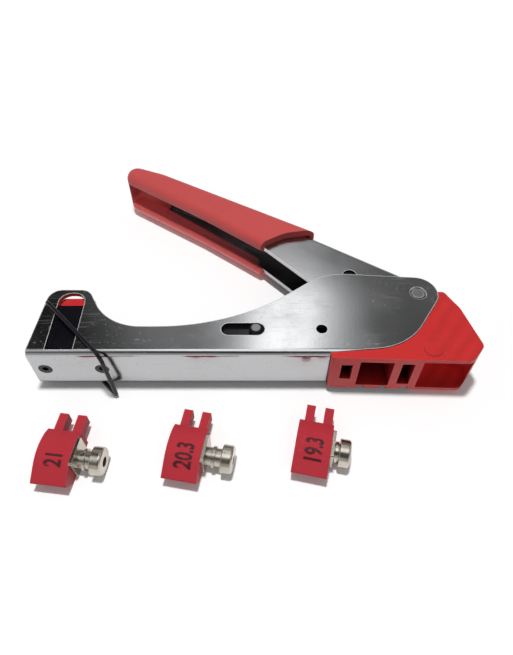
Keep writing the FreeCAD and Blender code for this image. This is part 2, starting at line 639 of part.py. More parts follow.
def clamp_saddle():
    """Black steel saddle between the cradle and the channel, seen through the arch windows."""
    body = new_body("clamp_saddle")
    side = [
        (CRADLE_BACK, "sheet - web_y"),
        (CRADLE_FRONT, "sheet - web_y"),
        (CRADLE_FRONT, "-saddle_low", "saddle_sheet"),
        (CRADLE_FACE + " - saddle_side + saddle_sheet", "saddle_side - saddle_low", "2*saddle_sheet"),
        (CRADLE_FACE + " - saddle_side", "-saddle_top", "saddle_sheet"),
        (CRADLE_BACK + " + saddle_side + saddle_sheet/2", "-saddle_top", "saddle_sheet"),
        (CRADLE_BACK + " + saddle_side + saddle_sheet/2", "-cradle_neck", "cradle_lean"),
        (CRADLE_BACK, "saddle_sheet - saddle_low", "saddle_sheet"),
    ]
    pad(body, outline(new_sketch(body, "saddle_side", level=LOW + " + sheet"), side), INNER)
    inside = box_corners(CRADLE_BACK + " - spare", "sheet + saddle_sheet - web_y",
                         CRADLE_FRONT + " + spare", "spare")
    pocket(body, outline(new_sketch(body, "saddle_inside", level=LOW + " + sheet + saddle_sheet"),
                         inside), CRADLE_WIDTH)
    holes = new_sketch(body, "saddle_holes", "XZ_Plane", "web_y")
    ring(holes, SCREW_TAIL, MID, "screw_r + run")
    ring(holes, SCREW_FOOT, MID, "screw_r + run")
    pocket(body, holes, "screw_length", back=False)
    soften(body, "bend - sheet", lambda edge: any(
        runs_along_x(edge, "sheet - web_y", level) for level in (LOW + " + sheet", HIGH + " - sheet")),
        "saddle_bends")
    return body


def cradle_screws():
    """Two countersunk screws through the web into the cradle, as one group."""
    group = []
    for name, x in (("tail", SCREW_TAIL), ("foot", SCREW_FOOT)):
        shank = DOC.addObject("Part::Cylinder", name + "_shank")
        bind(shank, "Radius", "screw_r")
        bind(shank, "Height", "screw_length - seat")
        head = DOC.addObject("Part::Cylinder", name + "_head")
        bind(head, "Radius", "screw_head_r")
        bind(head, "Height", "sheet/2 - seat")
        key = DOC.addObject("Part::Prism", name + "_key")
        bind(key, "Circumradius", "screw_key")
        bind(key, "Height", "screw_key_depth")
        for piece in (shank, head, key):
            piece.Placement.Rotation = FreeCAD.Rotation(V(1, 0, 0), -90)
            place(piece, x, "seat - web_y", MID)
        blank = DOC.addObject("Part::Fuse", name + "_blank")
        blank.Base = shank
        blank.Tool = head
        group.append(DOC.addObject("Part::Cut", name + "_screw"))
        group[-1].Base = blank
        group[-1].Tool = key
    screws = DOC.addObject("Part::Compound", "screws")
    screws.Links = group
    return node(screws, "cradle_screws")


def turned_piece(label, corners, x="0", y="0", z="0"):
    """A piece turned about an upright axis from its half section."""
    body = new_body(label)
    turned(body, outline(new_sketch(body, label + "_section", "XZ_Plane"), corners))
    place(body, x, y, z)
    return body


def tube(label, inner, outer, z, height, x="0", y="0"):
    return turned_piece(label, box_corners(inner, "0", outer, height), x, y, z)


def pivot_pieces():
    """Main pivot rivet, its sleeve and the washers each side of the handle."""
    turned_piece("main_pivot", [
        ("0", "0"),
        ("pivot_head_r - pivot_edge", "0"),
        ("pivot_head_r", "rivet_head - pivot_rim"),
        ("pivot_head_r", "rivet_head"),
        ("pivot_r", "rivet_head"),
        ("pivot_r", "rivet_head + body_width - pivot_sink"),
        ("pivot_r - pivot_sink", "rivet_head + body_width"),
        ("0", "rivet_head + body_width"),
    ])
    tube("pivot_washer_lower", "pivot_r + run", "washer_r", LOW + " + sheet", "lever_gap - seat")
    tube("pivot_washer_upper", "pivot_r + run", "washer_r", HIGH + " - sheet - lever_gap + seat",
         "lever_gap - seat")
    tube("pivot_sleeve", "pivot_r + run", "sleeve_r", LEVER_LOW + " + lever_sheet + seat",
         LEVER_WIDTH + " - 2*lever_sheet - 2*seat")


def return_spring():
    """Torsion spring round the pivot sleeve, its upper end straight along the handle's spine."""
    wire, mean, pitch = size("spring_wire"), size("spring_mean"), size("spring_pitch")
    rise = pitch * SPRING_TURNS
    helix = Part.makeHelix(pitch, rise, mean)
    helix.rotate(V(0, 0, 0), V(0, 0, 1), 90)
    helix.translate(V(0, 0, size(MID) - rise / 2))
    coil = helix.Edges[0]
    end, along = coil.valueAt(coil.LastParameter), coil.tangentAt(coil.LastParameter)
    leg = Part.LineSegment(end, end + along * size("spring_leg")).toShape()
    start, inwards = coil.valueAt(coil.FirstParameter), coil.tangentAt(coil.FirstParameter)
    section = Part.Wire([Part.Circle(start, inwards, wire).toShape()])
    spring = DOC.addObject("Part::Feature", "spring")
    spring.Shape = Part.Wire([coil, leg]).makePipeShell([section], True, True)
    return node(spring, "return_spring")


def link_pieces():
    """Handle's link pin, the two link plates and the washers outside them."""
    px, py = "-link_pin_x", "link_pin_y"
    turned_piece("link_pin", box_corners("0", "0", "link_pin_r", LEVER_WIDTH + " - 2*link_pin_sink"),
                 px, py, LEVER_LOW + " + link_pin_sink")
    length = "sqrt((slider_x - link_pin_x)^2 + (slider_y + link_pin_y)^2)"
    low_plate = LEVER_LOW + " + lever_sheet + link_side"
    high_plate = f"{MID} + {LINK_GAP}/2"
    share = "*eye_slack/" + length
    for label, level in (("toggle_link_lower", low_plate), ("toggle_link_upper", high_plate)):
        body = new_body(label)
        plate = capsule(new_sketch(body, label + "_side"), px, py, "-slider_x", "-slider_y", "link_eye")
        pad(body, plate, "link_thick")
        eyes = new_sketch(body, label + "_eyes")
        ring(eyes, px, py, "link_pin_r + run")
        capsule(eyes, "-slider_x", "-slider_y", "-slider_x + (slider_x - link_pin_x)" + share,
                "-slider_y + (slider_y + link_pin_y)" + share, "pin_r + eye_play")
        pocket(body, eyes)
        place(body, z=level)
    tube("link_washer_lower", "link_pin_r + run", "link_eye", LEVER_LOW + " + lever_sheet + run",
         "link_side - seat", px, py)
    tube("link_washer_upper", "link_pin_r + run", "link_eye", high_plate + " + link_thick + run",
         "link_side - seat", px, py)


SPINE = corners("lever", "neck", "bend", "tail")
LEVER = corners("lever")
GRIP = corners("grip")


def inside_spine(far):
    """What is cut out of the handle's block to leave its two cheeks and its spine."""
    moved = grown(LEVER, -size("lever_sheet"))
    nose, bend, tail = (V(x, y, 0) for x, y, _ in moved[:3])
    tail = tail + (tail - bend).normalize() * far
    nose = nose + (nose - bend).normalize() * far
    points = [nose, bend, tail, V(tail.x, -far, 0), V(nose.x, -far, 0)]
    return [(point.x, point.y) for point in points]


def lies_along(edge, chain):
    """True for a level edge whose ends both lie on a chain of lines seen from above."""
    ends = [vertex.Point for vertex in edge.Vertexes]
    if len(ends) != 2 or abs(ends[0].z - ends[1].z) > TOUCHING:
        return False
    flat = [V(end.x, end.y, 0) for end in ends]
    off = [min(point.distanceToLine(a, b - a) for a, b in zip(chain, chain[1:])) for point in flat]
    return max(off) < TOUCHING


def handle_channel():
    """Channel-section handle: pivots at one end and carries the link pin and the grip."""
    body = new_body("handle_channel")
    pad(body, outline(new_sketch(body, "handle_side", level=LEVER_LOW), LEVER), LEVER_WIDTH)
    spine = [V(x, y, 0) for x, y, _ in numbers(SPINE)]
    soften(body, "lever_bend", lambda edge: lies_along(edge, spine), "handle_bends")
    pocket(body, outline(new_sketch(body, "handle_inside", level=LEVER_LOW + " + lever_sheet"),
                         inside_spine(size("8*spare"))), LEVER_WIDTH + " - 2*lever_sheet")
    holes = new_sketch(body, "handle_holes", level=LEVER_LOW)
    ring(holes, "0", "0", "pivot_r + run")
    ring(holes, "-link_pin_x", "link_pin_y", "link_pin_r")
    pocket(body, holes)
    return body


def handle_grip():
    """Moulded sleeve over the handle's arm, with round lips that wrap its open side."""
    body = new_body("handle_grip")
    low = LEVER_LOW + " - grip_wall"
    pad(body, outline(new_sketch(body, "grip_side", level=low), GRIP), LEVER_WIDTH + " + 2*grip_wall")
    chain = [V(x, y, 0) for x, y, _ in numbers(GRIP)[:6]]
    soften(body, "grip_round", lambda edge: lies_along(edge, chain), "grip_edges")
    mouth = new_sketch(body, "grip_mouth", level=low + " + lip_width")
    pocket(body, outline(mouth, corners("mouth")), LEVER_WIDTH + " + 2*grip_wall - 2*lip_width")
    front = chain[3:]
    soften(body, "grip_lip", lambda edge: lies_along(edge, front), "grip_lips")
    arm = new_sketch(body, "grip_socket", level=LEVER_LOW)
    pocket(body, outline(arm, LEVER), LEVER_WIDTH)
    return body


def wire_bail():
    """Spring-wire bail: its loop hooks over the closed handle and holds it shut."""
    turn = size("bail_turn")
    web = size("web_y - bail_y") / math.sin(math.radians(turn))
    reach, knee = web + size("bail_past"), web + size("bail_knee")
    stand, wire = size("body_width/2 + bail_gap"), size("wire_r")
    foot = size("body_width/2 - bail_foot")
    path = [V(0, 0, -foot), V(0, 0, -stand), V(reach, 0, -stand), V(knee, 0, stand), V(0, 0, stand),
            V(0, 0, foot)]
    bends = [size(name) for name in ("foot_round", "loop_round", "knee_round", "foot_round")]
    edges, last = [], path[0]
    for i, radius in enumerate(bends, start=1):
        before = (path[i] - path[i - 1]).normalize()
        after = (path[i + 1] - path[i]).normalize()
        half_turn = before.getAngle(after) / 2
        first = path[i] - before * (radius * math.tan(half_turn))
        end = path[i] + after * (radius * math.tan(half_turn))
        outwards = (before - after).normalize()
        middle = path[i] - outwards * (radius / math.cos(half_turn) - radius)
        edges.append(Part.LineSegment(last, first).toShape())
        edges.append(Part.Arc(first, middle, end).toShape())
        last = end
    edges.append(Part.LineSegment(last, path[-1]).toShape())
    section = Part.Wire([Part.Circle(path[0], V(0, 0, 1), wire).toShape()])
    bail = DOC.addObject("Part::Feature", "bail")
    bail.Shape = Part.Wire(edges).makePipeShell([section], True, True)
    bail.Placement = FreeCAD.Placement(V(size(BAIL_X), -size("bail_y"), size(MID)),
                                       FreeCAD.Rotation(V(0, 0, 1), -turn))
    return node(bail, "wire_bail")


def slider_pieces():
    """Slider between the cheeks, its pin and the bushes that run in the cheeks' slots."""
    body = new_body("slider_block")
    floor = "sheet + side_run - web_y"
    side = [
        ("-slider_back", floor, "slider_round"),
        ("-slider_front", floor, "slider_round"),
        ("-slider_front", "-slider_high", "slider_nose"),
        ("-slider_step", "-slider_high", "slider_round"),
        ("-slider_step", "-slider_low"),
        ("-slider_back", "-slider_low", "slider_round"),
    ]
    pad(body, outline(new_sketch(body, "slider_side", level=LOW + " + sheet + side_run"), side),
        INNER + " - 2*side_run")
    bore = new_sketch(body, "slider_bore", level=MID)
    ring(bore, "-slider_x", "-slider_y", "pin_r + run")
    pocket(body, bore)
    for name, level in (("lower", f"{MID} - {LINK_GAP}/2 - link_thick - side_run"),
                        ("upper", f"{MID} + {LINK_GAP}/2 - side_run")):
        slot = new_sketch(body, "link_slot_" + name, level=level)
        outline(slot, box_corners("-slider_x - link_room", "-web_y - spare", "-slider_front + 2*spare",
                                  "spare"))
        pocket(body, slot, "link_thick + 2*side_run")
    sockets = new_sketch(body, "prong_sockets", "XZ_Plane", "web_y + spare")
    for start in ("-slider_step - seat - prong_width - 2*seat",
                  "-slider_step - seat - 2*prong_width - prong_gap - 2*seat"):
        outline(sockets, box_corners(start, MID + " - prong_thick/2 - seat",
                                     start + " + prong_width + 2*seat", MID + " + prong_thick/2 + seat"))
    pocket(body, sockets, "web_y", back=False)
    bush = "(sheet + side_run)"
    tube("slider_bush_lower", "pin_r", "bush_r", LOW + " - seat", bush, "-slider_x", "-slider_y")
    tube("slider_bush_upper", "pin_r", "bush_r", f"{HIGH} + seat - {bush}", bush,
         "-slider_x", "-slider_y")
    head = "pin_r + pin_rim"
    top = "body_width + 2*pin_end"
    turned_piece("slider_pin", [
        ("0", "0"),
        (head + " - pin_edge", "0"),
        (head, "pin_edge"),
        (head, "pin_end - seat"),
        ("pin_r", "pin_end - seat"),
        ("pin_r", top + " - pin_end + seat"),
        (head, top + " - pin_end + seat"),
        (head, top + " - pin_edge"),
        (head + " - pin_edge", top),
        ("0", top),
    ], "-slider_x", "-slider_y", LOW + " - pin_end")


def adapter(number):
    """Loose adapter: a moulded block with two prongs and a nickel mandrel on one side."""
    turn = ADAPTERS[number][-1]
    spot = V(size(f"adapter_{number}_x"), size(f"adapter_{number}_y"), 0)
    here = FreeCAD.Placement(spot, FreeCAD.Rotation(V(0, 0, 1), turn))
    stem_r = "mandrel_bore_r + side_run"
    block = new_body(f"adapter_{number}_block")
    side = [
        ("0", "0"),
        ("0", "adapter_shoulder", "adapter_round"),
        ("-2*adapter_length/5", "adapter_crown", "adapter_curve"),
        ("-adapter_length", "adapter_toe", "adapter_round"),
        ("adapter_tuck - adapter_length", "0", "adapter_round"),
    ]
    pad(block, outline(new_sketch(block, f"block_{number}", "YZ_Plane"), side), "adapter_width")
    prongs = new_sketch(block, f"prongs_{number}", level="prong_level")
    for start in ("prong_first", "prong_first + prong_width + prong_gap"):
        outline(prongs, box_corners(start, "-prong_root", start + " + prong_width", "prong_length"))
    pad(block, prongs, "prong_thick")
    seat = new_sketch(block, f"seat_{number}", "YZ_Plane", "adapter_width - spare")
    ring(seat, "-mandrel_drop", "mandrel_z", stem_r)
    pocket(block, seat, "2*spare")
    block.Placement = here
    lock = new_body(f"adapter_{number}_plate")
    face = new_sketch(lock, f"lock_{number}", "YZ_Plane", "adapter_width")
    outline(face, box_corners("-mandrel_drop - plate_aft", "plate_low", "-mandrel_drop + plate_fore",
                              "mandrel_z + plate_rise", "adapter_round"))
    pad(lock, face, "plate_thick")
    hole = new_sketch(lock, f"lock_hole_{number}", "YZ_Plane", "adapter_width")
    ring(hole, "-mandrel_drop", "mandrel_z", stem_r)
    pocket(lock, hole, "plate_thick")
    lock.Placement = here
    mandrel = new_body(f"adapter_{number}_mandrel")
    foot, neck = "-mandrel_root", f"plate_thick + neck_{number}"
    middle, tip = f"plate_thick + neck_{number}/2", neck + " + mandrel_head"
    outline(new_sketch(mandrel, f"mandrel_{number}", "XZ_Plane"), [
        ("0", foot),
        (stem_r, foot),
        (stem_r, "plate_thick"),
        ("mandrel_neck_r", "plate_thick"),
        ("mandrel_neck_r", middle + " - mandrel_rib"),
        ("mandrel_neck_r + mandrel_rib", middle + " - mandrel_rib"),
        ("mandrel_neck_r + mandrel_rib", middle + " + mandrel_rib"),
        ("mandrel_neck_r", middle + " + mandrel_rib"),
        ("mandrel_neck_r", neck),
        ("mandrel_r", neck, "mandrel_edge/3"),
        ("mandrel_r", tip, "mandrel_edge"),
        ("mandrel_bore_r", tip),
        ("mandrel_bore_r", neck),
        ("0", neck + " - mandrel_edge"),
    ])
    turned(mandrel, DOC.getObject(f"mandrel_{number}"))
    stub = FreeCAD.Placement(V(size("adapter_width"), -size("mandrel_drop"), size("mandrel_z")),
                             FreeCAD.Rotation(V(0, 1, 0), 90))
    mandrel.Placement = here.multiply(stub)


body_channel()
nose_housing()
cable_cradle()
clamp_saddle()
cradle_screws()
pivot_pieces()
return_spring()
slider_pieces()
link_pieces()
handle_channel()
handle_grip()
wire_bail()
for number in ADAPTERS:
    adapter(number)
DOC.recompute()


def check():
    """Stop if a feature failed, a cut removed nothing or a piece is not sound."""
    for thing in DOC.Objects:
        bad = [word for word in thing.State if word in ("Invalid", "Error")]
        if bad:
            raise RuntimeError(f"{thing.Name} is {bad}")
        if thing.TypeId in ("PartDesign::Pocket", "PartDesign::Groove"):
            if thing.Shape.Volume > thing.BaseFeature.Shape.Volume - 1e-3:
                raise RuntimeError(f"{thing.Name} cuts nothing")
    for piece in NODES:
        if piece.Shape.isNull() or not piece.Shape.isValid():
            raise RuntimeError(f"{piece.Label} is not sound")


check()
os.makedirs("parts", exist_ok=True)
for piece in NODES:
    piece.Shape.exportStep(f"parts/{piece.Label}.step")
    print(piece.Label, len(piece.Shape.Solids), round(piece.Shape.Volume, 1))
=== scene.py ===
import math

import bmesh
import bpy
from mathutils import Matrix, Vector
from mathutils.bvhtree import BVHTree


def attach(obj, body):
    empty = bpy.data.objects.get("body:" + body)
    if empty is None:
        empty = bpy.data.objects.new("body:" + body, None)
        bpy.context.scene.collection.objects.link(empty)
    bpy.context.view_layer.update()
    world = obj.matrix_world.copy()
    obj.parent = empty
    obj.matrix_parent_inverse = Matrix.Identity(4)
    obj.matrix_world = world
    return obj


bl_info = {
    "name": "Connector Compression Tool",
    "version": (1, 0, 0),
    "blender": (4, 5, 0),
    "location": "3D View > Sidebar > Compression Tool",
    "description": "Finishes a coax connector compression tool and its loose adapters",
    "category": "Object",
}

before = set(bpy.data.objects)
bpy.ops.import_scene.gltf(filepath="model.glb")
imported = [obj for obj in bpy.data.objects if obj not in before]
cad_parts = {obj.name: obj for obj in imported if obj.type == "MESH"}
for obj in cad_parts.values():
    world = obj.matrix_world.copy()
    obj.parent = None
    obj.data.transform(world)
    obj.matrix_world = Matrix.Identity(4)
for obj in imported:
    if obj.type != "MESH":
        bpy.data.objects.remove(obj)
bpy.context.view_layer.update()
MM = 0.001

# Each adapter's number, where its corner lies and how far it is turned, mm and degrees
ADAPTERS = {
    "21": ("21", (-124.2, -46.4), -7.0),
    "203": ("20.3", (-83.8, -44.8), -10.0),
    "193": ("19.3", (-43.4, -43.0), -12.0),
}
# Middle of the number from that corner, before the turn, mm
NUMBER_CENTRE = (6.2, -10.6)
FIGURE_HEIGHT = 5.4 * MM
FIGURE_WIDTH = 0.60    # share of the font's own width
FIGURE_SHARE = 0.72    # height of a figure as a share of the font's size
FIGURE_BOLDER = 0.030  # how far the outlines are moved out, as a share of the font's size
FIGURE_STRIPS = 24
INK_LIFT = 0.03 * MM
ABOVE_ADAPTERS = 0.05

# Direction across the handle's arm at rest. The arm's open side is on its negative side.
ACROSS_ARM = (0.621, 0.784, 0.0)
# Where a material changes on its piece, from none to all of the change, metres
# Where the nose's painted shade in its windows gives way to painted light in its well
WELL_X = (-0.004, -0.002)
# Where the nose's bands of painted shade begin
FOLD_SHADE_X = (-0.002, 0.004)
# Where the painted light inside the grip's lower wall lies
GRIP_WALL_Z = (0.010, 0.007)
GRIP_WALL_ACROSS = (-0.0090, -0.0105)
# Where the handle's red layer, lightened as painted light, lies
LINING_X = (-0.056, -0.058)
LINING_ACROSS = (-0.0095, -0.0105)

# Colours that no setting changes
# Painted highlight: the white put on the metal's sharp rims
PAINTED_RIM_HIGHLIGHT = (0.92, 0.92, 0.93)
DUST_WHITE = (0.8, 0.74, 0.72)
RUBBED_GREY = (0.25, 0.25, 0.26)
# Painted shade: the near black put inside the handle's channel
CHANNEL_PAINTED_SHADE = (0.016, 0.004, 0.006)
# Red of the grip's moulding inside the arm, lightened as painted light
LINING_RED_PAINTED_LIGHT = (0.92, 0.17, 0.17)
# Painted light: the lighter red inside the grip's lower wall
GRIP_INSIDE_PAINTED_LIGHT = (0.95, 0.19, 0.19)
# Painted light: the lighter red in the nose's well
WELL_PAINTED_LIGHT = (0.95, 0.075, 0.065)
WHITE = (1.0, 1.0, 1.0)

# Lamps, floor and camera, metres. The sensor's width is in mm.
AIM = (-0.06, 0.0, 0.01)
MAIN_LAMP_PLACE = (-0.085, 0.0, 0.62)
MAIN_LAMP_SIZE = 0.06
FILL_LAMP_PLACE = (0.05, -0.50, 0.16)
FILL_LAMP_SIZE = 0.40
FLOOR_MIDDLE = (-0.057, -0.01, 0.0)
FLOOR_REACH = 3.0
SENSOR_WIDTH = 36.0
NEAR_CLIP = 0.01

# What metal reflects: grey levels once round the studio, by turn from 0 to 1, with straight runs
# between them. One row for high up, one for low down and one for below the horizon.
HIGH_RING = (
    (0.0, 0.05), (0.07, 0.08), (0.16, 0.70), (0.25, 0.35), (0.34, 0.06), (0.40, 0.0), (0.415, 0.0),
    (0.423, 0.045), (0.431, 0.055), (0.4345, 0.08), (0.439, 0.14), (0.445, 0.20), (0.452, 0.23),
    (0.466, 0.20), (0.476, 0.20), (0.492, 0.44), (0.503, 1.85), (0.524, 1.85), (0.534, 0.78),
    (0.550, 0.14), (0.580, 0.075), (0.64, 0.14), (0.74, 0.70), (0.84, 0.35), (0.93, 0.08),
    (1.0, 0.05))
LOW_RING = (
    (0.0, 0.04), (0.20, 0.25), (0.33, 0.55), (0.37, 0.25), (0.395, 0.02), (0.418, 0.02), (0.426, 0.05),
    (0.435, 0.07), (0.470, 0.40), (0.500, 0.50), (0.512, 0.38), (0.530, 0.14), (0.560, 0.10),
    (0.60, 0.20), (0.68, 0.60), (0.82, 0.25), (1.0, 0.04))
SKIRT_RING = (
    (0.0, 0.35), (0.15, 0.60), (0.30, 0.30), (0.50, 0.45), (0.70, 0.30), (0.85, 0.60), (1.0, 0.35))
# Above them is an even light. Each change is at a height of the direction, from 0 to 1.
RING_TOP = 1.3
LOW_FROM = (0.38, 0.52)
HIGH_FROM = (0.70, 0.75)
TOP_FROM = (0.93, 0.97)
RING_STRENGTH = 1.17


# Settings

class FinishColours(bpy.types.PropertyGroup):
    """Colours of the tool's finishes."""
    chrome: bpy.props.FloatVectorProperty(
        name="Chrome", description="Plated channel and handle", subtype="COLOR",
        default=(0.52, 0.525, 0.535), min=0, max=1)
    steel: bpy.props.FloatVectorProperty(
        name="Plain Steel", description="Pins, washers and links", subtype="COLOR",
        default=(0.42, 0.42, 0.43), min=0, max=1)
    nickel: bpy.props.FloatVectorProperty(
        name="Nickel", description="Turned mandrels and their lock plates", subtype="COLOR",
        default=(0.62, 0.57, 0.49), min=0, max=1)
    black: bpy.props.FloatVectorProperty(
        name="Black", description="Wire bail, saddle and screws", subtype="COLOR",
        default=(0.004, 0.0035, 0.006), min=0, max=1)
    nose: bpy.props.FloatVectorProperty(
        name="Nose Red", description="Moulded nose and cable cradle", subtype="COLOR",
        default=(0.50, 0.022, 0.022), min=0, max=1)
    grip: bpy.props.FloatVectorProperty(
        name="Grip Red", description="Soft sleeve of the handle", subtype="COLOR",
        default=(0.46, 0.062, 0.060), min=0, max=1)
    adapter: bpy.props.FloatVectorProperty(
        name="Adapter Red", description="Moulded adapter blocks", subtype="COLOR",
        default=(0.40, 0.028, 0.040), min=0, max=1)
    numeral: bpy.props.FloatVectorProperty(
        name="Numerals", description="Printed numbers on the adapters", subtype="COLOR",
        default=(0.050, 0.004, 0.008), min=0, max=1)


class WearSettings(bpy.types.PropertyGroup):
    """How used the surfaces look."""
    scratches: bpy.props.FloatProperty(
        name="Scratches", description="Strength of the fine scratches in the chrome",
        default=0.5, min=0, max=1, subtype="FACTOR")
    haze: bpy.props.FloatProperty(
        name="Haze", description="Patches where the chrome is dulled",
        default=0.35, min=0, max=1, subtype="FACTOR")
    dust: bpy.props.FloatProperty(
        name="Dust", description="Pale specks on the plastics",
        default=0.04, min=0, max=1, subtype="FACTOR")


class StageSettings(bpy.types.PropertyGroup):
    """Camera, lamps and floor."""
    camera_place: bpy.props.FloatVectorProperty(
        name="Camera Place", description="Where the camera stands", subtype="TRANSLATION",
        unit="LENGTH", default=(-0.05751, -0.127, 0.16055))
    camera_tilt: bpy.props.FloatProperty(
        name="Camera Tilt", description="Angle of the camera up from straight down", subtype="ANGLE",
        unit="ROTATION", default=math.radians(38.5))
    lens: bpy.props.FloatProperty(
        name="Lens", description="Focal length in mm on a 36 mm frame", default=29.13, min=10, max=200)
    lamp: bpy.props.FloatProperty(
        name="Main Lamp", description="Power of the lamp above the tool", default=3.4, min=0)
    fill: bpy.props.FloatProperty(
        name="Fill Lamp", description="Power of the lamp beside the camera", default=0.24, min=0)


# Shader helpers

def link(tree, source, target):
    tree.links.new(source, target)


def add_node(tree, kind, **values):
    """A node with its properties or its sockets' values set by name."""
    made = tree.nodes.new(kind)
    for name, value in values.items():
        if hasattr(made, name):
            setattr(made, name, value)
        else:
            made.inputs[name.replace("_", " ")].default_value = value
    return made


def new_group(name, inputs, outputs):
    """A shader node group with named sockets, and its two end nodes."""
    tree = bpy.data.node_groups.new(name, "ShaderNodeTree")
    for label, kind, default in inputs:
        socket = tree.interface.new_socket(label, in_out="INPUT", socket_type=kind)
        socket.default_value = default
    for label, kind in outputs:
        tree.interface.new_socket(label, in_out="OUTPUT", socket_type=kind)
    return tree, tree.nodes.new("NodeGroupInput"), tree.nodes.new("NodeGroupOutput")


def math_node(tree, operation, first, second):
    """One operation on two values, each a socket or a number."""
    made = add_node(tree, "ShaderNodeMath", operation=operation)
    for socket, value in zip(made.inputs, (first, second)):
        if isinstance(value, bpy.types.NodeSocket):
            link(tree, value, socket)
        else:
            socket.default_value = value
    return made.outputs[0]


def product(tree, first, *others):
    """The values multiplied together."""
    for other in others:
        first = math_node(tree, "MULTIPLY", first, other)
    return first


def total(tree, first, *others):
    """The values added together."""
    for other in others:
        first = math_node(tree, "ADD", first, other)
    return first


def ramp(tree, source, low, high):
    """Stretches a value so that low gives 0 and high gives 1."""
    made = add_node(tree, "ShaderNodeMapRange", clamp=True)
    link(tree, source, made.inputs["Value"])
    made.inputs["From Min"].default_value = low
    made.inputs["From Max"].default_value = high
    return made.outputs["Result"]


def scratch_group(name):
    """Long thin scratches in three directions, as a mask."""
    tree, start, end = new_group(
        name, [("Scale", "NodeSocketFloat", 60.0), ("Amount", "NodeSocketFloat", 0.5)],
        [("Mask", "NodeSocketFloat")])
    place = tree.nodes.new("ShaderNodeTexCoord")
    lines = None
    for angle, stretch, shift in ((0.35, 26.0, 0.0), (-0.62, 18.0, 3.1), (1.9, 34.0, 7.7)):
        turn = add_node(tree, "ShaderNodeMapping")
        turn.inputs["Rotation"].default_value = (0.3 * shift, 0.0, angle)
        turn.inputs["Location"].default_value = (shift, shift * 0.5, 0.0)
        turn.inputs["Scale"].default_value = (1.0, stretch, stretch)
        noise = add_node(tree, "ShaderNodeTexNoise", Detail=2.0, Roughness=0.45)
        link(tree, place.outputs["Object"], turn.inputs["Vector"])
        link(tree, turn.outputs["Vector"], noise.inputs["Vector"])
        link(tree, start.outputs["Scale"], noise.inputs["Scale"])
        line = ramp(tree, noise.outputs["Fac"], 0.66, 0.72)
        lines = line if lines is None else math_node(tree, "MAXIMUM", lines, line)
    patch = add_node(tree, "ShaderNodeTexNoise", Scale=45.0, Detail=2.0)
    link(tree, place.outputs["Object"], patch.inputs["Vector"])
    where = ramp(tree, patch.outputs["Fac"], 0.42, 0.62)
    link(tree, product(tree, lines, where, start.outputs["Amount"]), end.inputs["Mask"])
    return tree


def haze_group(name):
    """Cloudy patches with fine specks in them, as two masks."""
    tree, start, end = new_group(
        name, [("Scale", "NodeSocketFloat", 30.0), ("Speck Scale", "NodeSocketFloat", 900.0)],
        [("Cloud", "NodeSocketFloat"), ("Specks", "NodeSocketFloat")])
    place = tree.nodes.new("ShaderNodeTexCoord")
    cloud = add_node(tree, "ShaderNodeTexNoise", Detail=5.0, Roughness=0.6)
    link(tree, place.outputs["Object"], cloud.inputs["Vector"])
    link(tree, start.outputs["Scale"], cloud.inputs["Scale"])
    soft = ramp(tree, cloud.outputs["Fac"], 0.38, 0.68)
    speck = add_node(tree, "ShaderNodeTexNoise", Detail=1.0)
    link(tree, place.outputs["Object"], speck.inputs["Vector"])
    link(tree, start.outputs["Speck Scale"], speck.inputs["Scale"])
    dots = product(tree, ramp(tree, speck.outputs["Fac"], 0.64, 0.74), soft)
    link(tree, soft, end.inputs["Cloud"])
    link(tree, dots, end.inputs["Specks"])
    return tree


def grain_group(name):
    """Fine moulded or sprayed grain as a height, and a slow change of tone."""
    tree, start, end = new_group(
        name, [("Grain Scale", "NodeSocketFloat", 1500.0), ("Tone Scale", "NodeSocketFloat", 40.0)],
        [("Height", "NodeSocketFloat"), ("Tone", "NodeSocketFloat")])
    place = tree.nodes.new("ShaderNodeTexCoord")
    for scale, output, detail in (("Grain Scale", "Height", 3.0), ("Tone Scale", "Tone", 4.0)):
        noise = add_node(tree, "ShaderNodeTexNoise", Detail=detail, Roughness=0.55)
        link(tree, place.outputs["Object"], noise.inputs["Vector"])
        link(tree, start.outputs[scale], noise.inputs["Scale"])
        link(tree, noise.outputs["Fac"], end.inputs[output])
    return tree


def edge_group(name):
    """Narrow mask along the sharp edges, for edge wear and for painted edge highlights."""
    tree, start, end = new_group(name, [("Radius", "NodeSocketFloat", 0.0003)],
                                 [("Edge", "NodeSocketFloat")])
    shape = tree.nodes.new("ShaderNodeNewGeometry")
    bevel = add_node(tree, "ShaderNodeBevel", samples=6)
    link(tree, start.outputs["Radius"], bevel.inputs["Radius"])
    along = add_node(tree, "ShaderNodeVectorMath", operation="DOT_PRODUCT")
    link(tree, bevel.outputs["Normal"], along.inputs[0])
    link(tree, shape.outputs["Normal"], along.inputs[1])
    bent = math_node(tree, "SUBTRACT", 1.0, along.outputs["Value"])
    link(tree, ramp(tree, bent, 0.02, 0.20), end.inputs["Edge"])
    return tree


def hollow_group(name):
    """Mask that rises inside channels and hollows, where little light comes in."""
    tree, start, end = new_group(name, [("Reach", "NodeSocketFloat", 0.012)],
                                 [("Hollow", "NodeSocketFloat"), ("Open", "NodeSocketFloat")])
    shade_in = add_node(tree, "ShaderNodeAmbientOcclusion", samples=6)
    link(tree, start.outputs["Reach"], shade_in.inputs["Distance"])
    link(tree, ramp(tree, shade_in.outputs["AO"], 0.75, 0.30), end.inputs["Hollow"])
    link(tree, shade_in.outputs["AO"], end.inputs["Open"])
    return tree


